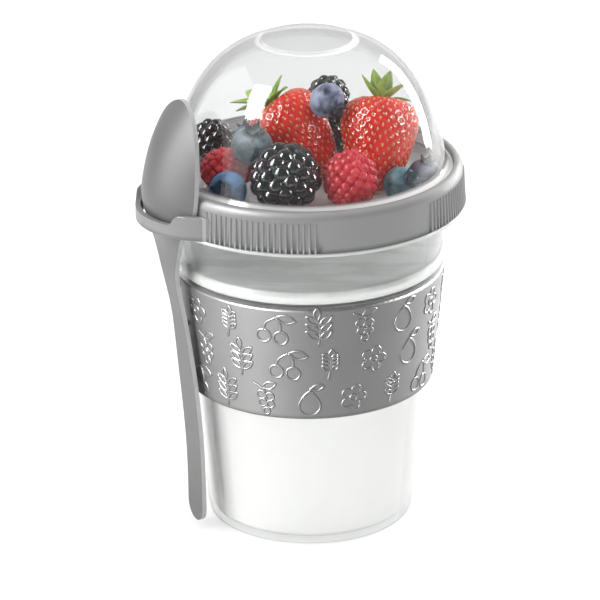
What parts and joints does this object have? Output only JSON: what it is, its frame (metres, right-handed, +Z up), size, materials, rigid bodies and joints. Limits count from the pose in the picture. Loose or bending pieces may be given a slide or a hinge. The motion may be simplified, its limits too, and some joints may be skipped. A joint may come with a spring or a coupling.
{
  "type": "yogurt cup",
  "caption": "Clear tapered cup of yogurt in a grey sleeve, with a screw ring that holds a spoon, and a clear dome over fresh berries.",
  "frame": {"origin": "centre of the foot, on the surface the cup stands on", "axes": "+Z up along the cup's axis, -Y towards the front; the spoon hangs at the left of the front"},
  "size_m": [0.1019, 0.0982, 0.1554],
  "materials": {
    "clear_cup": "clear gloss moulding",
    "yogurt": "smooth moist white",
    "sleeve": "satin grey with raised motifs",
    "ring": "satin grey moulding",
    "clear_tray": "clear gloss moulding",
    "clear_dome": "clear gloss moulding",
    "spoon": "satin grey moulding",
    "strawberry": "glossy red fruit with pale seeds",
    "bramble": "glossy near-black drupelets",
    "raspberry": "soft red drupelets",
    "dark_berry": "blue berry with a pale bloom"
  },
  "bodies": {
    "root": {"cup": "clear_cup", "yogurt": "yogurt", "sleeve": "sleeve", "ring": "ring", "tray": "clear_tray", "dome": "clear_dome", "spoon": "spoon", "strawberry_left": "strawberry", "strawberry_right": "strawberry", "bramble_front": "bramble", "raspberry_front": "raspberry", "raspberry_left": "raspberry", "bramble_left": "bramble", "bramble_top": "bramble", "dark_berry_low_left": "dark_berry", "dark_berry_left": "dark_berry", "dark_berry_top": "dark_berry", "dark_berry_right": "dark_berry", "dark_berry_far_right": "dark_berry", "raspberry_back": "raspberry", "bramble_back": "bramble", "dark_berry_back_left": "dark_berry", "dark_berry_back_right": "dark_berry"}
  },
  "joints": []
}
